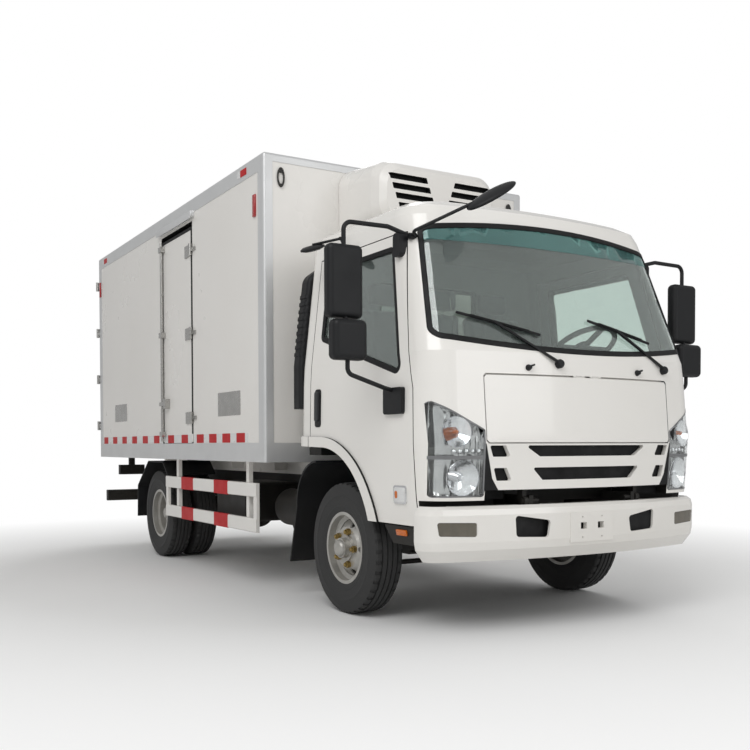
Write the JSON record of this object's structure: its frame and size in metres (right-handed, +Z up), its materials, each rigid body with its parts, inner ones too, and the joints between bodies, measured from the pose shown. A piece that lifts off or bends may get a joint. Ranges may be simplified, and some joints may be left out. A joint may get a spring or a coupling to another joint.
{
  "type": "refrigerated truck",
  "caption": "Light cab-over truck with an insulated load body, side and rear doors and a cooling unit on its front wall, for carrying chilled goods.",
  "frame": {"origin": "on the ground under the middle of the whole vehicle", "axes": "+Y to the rear, +X to the truck's left, +Z up"},
  "size_m": [2.732, 5.995, 2.914],
  "materials": {
    "chassis_black": "satin",
    "engine_iron": "rough",
    "bare_steel": "satin",
    "tank_aluminium": "satin",
    "black_plastic": "textured",
    "guard_paint": "gloss",
    "cab_paint": "gloss",
    "lamp_lens": "clear",
    "window_glass": "clear",
    "seat_cloth": "matte",
    "panel_skin": "satin",
    "rail_aluminium": "satin",
    "wheel_paint": "gloss",
    "tyre_rubber": "matte"
  },
  "bodies": {
    "chassis": {"ladder_frame": "chassis_black", "front_axle": "chassis_black", "rear_axle": "chassis_black", "leaf_springs": "chassis_black", "powertrain": "engine_iron", "exhaust_silencer": "bare_steel", "fuel_tank": "tank_aluminium", "battery_box": "chassis_black", "front_mudguards": "black_plastic", "rear_mudguards": "black_plastic", "side_guards": "guard_paint", "rear_underrun_bar": "chassis_black", "front_bumper": "cab_paint", "chassis_lamps": "lamp_lens", "body_floor": "panel_skin", "body_edge_rails": "rail_aluminium", "body_front_wall": "panel_skin", "body_roof": "panel_skin", "body_left_wall": "panel_skin", "body_right_wall": "panel_skin", "body_rear_frame": "rail_aluminium", "door_hinges": "bare_steel", "refrigeration_unit": "panel_skin"},
    "cab": {"cab_floor": "cab_paint", "cab_back": "cab_paint", "cab_front": "cab_paint", "cab_roof": "cab_paint", "grille": "cab_paint", "headlamps": "lamp_lens", "cab_glass": "window_glass", "dashboard": "black_plastic", "seats": "seat_cloth", "wipers": "black_plastic", "air_intake": "black_plastic", "front_mirror": "black_plastic"},
    "front_lid": {"front_lid": "cab_paint"},
    "steering_wheel": {"steering_wheel": "black_plastic"},
    "cab_left_door": {"cab_left_door": "cab_paint", "cab_left_glass": "window_glass", "cab_left_mirror": "black_plastic"},
    "cab_right_door": {"cab_right_door": "cab_paint", "cab_right_glass": "window_glass", "cab_right_mirror": "black_plastic"},
    "side_door": {"side_door": "panel_skin", "side_door_gear": "bare_steel"},
    "rear_left_door": {"rear_left_door": "panel_skin", "rear_left_door_gear": "bare_steel"},
    "rear_right_door": {"rear_right_door": "panel_skin", "rear_right_door_gear": "bare_steel"},
    "left_knuckle": {"left_knuckle": "chassis_black"},
    "right_knuckle": {"right_knuckle": "chassis_black"},
    "track_rod": {"track_rod": "chassis_black"},
    "front_left_wheel": {"front_left_wheel": "wheel_paint", "front_left_tyre": "tyre_rubber"},
    "front_right_wheel": {"front_right_wheel": "wheel_paint", "front_right_tyre": "tyre_rubber"},
    "rear_left_wheels": {"rear_left_wheels": "wheel_paint", "rear_left_tyres": "tyre_rubber"},
    "rear_right_wheels": {"rear_right_wheels": "wheel_paint", "rear_right_tyres": "tyre_rubber"}
  },
  "joints": [
    {"name": "cab_tilt", "type": "hinge", "parent": "chassis", "child": "cab", "pos_m": [0, -2.9125, 0.702], "axis": [1, 0, 0], "range_deg": [0, 42]},
    {"name": "front_lid_lift", "type": "hinge", "parent": "cab", "child": "front_lid", "pos_m": [0, -2.952, 1.3615], "axis": [-1, 0, 0], "range_deg": [0, 60]},
    {"name": "steering_wheel_turn", "type": "hinge", "parent": "cab", "child": "steering_wheel", "pos_m": [0.43, -2.4625, 1.58], "axis": [0, 0.5299, 0.848], "range_deg": [-648, 648]},
    {"name": "cab_left_door_swing", "type": "hinge", "parent": "cab", "child": "cab_left_door", "pos_m": [0.978, -2.7385, 1.3], "axis": [0, 0, -1], "range_deg": [0, 70]},
    {"name": "cab_right_door_swing", "type": "hinge", "parent": "cab", "child": "cab_right_door", "pos_m": [-0.978, -2.7385, 1.3], "axis": [0, 0, 1], "range_deg": [0, 70]},
    {"name": "side_door_swing", "type": "hinge", "parent": "chassis", "child": "side_door", "pos_m": [-1.094, 0.2225, 1.8], "axis": [0, 0, 1], "range_deg": [0, 170]},
    {"name": "rear_left_door_swing", "type": "hinge", "parent": "chassis", "child": "rear_left_door", "pos_m": [1.094, 2.9655, 1.8], "axis": [0, 0, -1], "range_deg": [0, 250]},
    {"name": "rear_right_door_swing", "type": "hinge", "parent": "chassis", "child": "rear_right_door", "pos_m": [-1.094, 2.9655, 1.8], "axis": [0, 0, 1], "range_deg": [0, 250]},
    {"name": "steer_left", "type": "hinge", "parent": "chassis", "child": "left_knuckle", "pos_m": [0.715, -1.9025, 0.389], "axis": [0, 0, 1], "range_deg": [-36, 36]},
    {"name": "steer_right", "type": "hinge", "parent": "chassis", "child": "right_knuckle", "pos_m": [-0.715, -1.9025, 0.389], "axis": [0, 0, 1], "range_deg": [-36, 36]},
    {"name": "track_rod_turn", "type": "hinge", "parent": "left_knuckle", "child": "track_rod", "pos_m": [0.715, -1.7525, 0.257], "axis": [0, 0, 1], "range_deg": [-36, 36]},
    {"name": "front_left_wheel_spin", "type": "hinge", "parent": "left_knuckle", "child": "front_left_wheel", "pos_m": [0.845, -1.9025, 0.389], "axis": [1, 0, 0], "continuous": true},
    {"name": "rear_left_wheels_spin", "type": "hinge", "parent": "chassis", "child": "rear_left_wheels", "pos_m": [0.748, 1.4575, 0.389], "axis": [1, 0, 0], "continuous": true},
    {"name": "front_right_wheel_spin", "type": "hinge", "parent": "right_knuckle", "child": "front_right_wheel", "pos_m": [-0.845, -1.9025, 0.389], "axis": [1, 0, 0], "continuous": true},
    {"name": "rear_right_wheels_spin", "type": "hinge", "parent": "chassis", "child": "rear_right_wheels", "pos_m": [-0.748, 1.4575, 0.389], "axis": [1, 0, 0], "continuous": true}
  ],
  "couplings": [
    {"joint": "steer_right", "follows": "steer_left", "ratio": 1},
    {"joint": "track_rod_turn", "follows": "steer_left", "ratio": -1},
    {"joint": "steering_wheel_turn", "follows": "steer_left", "ratio": 18}
  ]
}
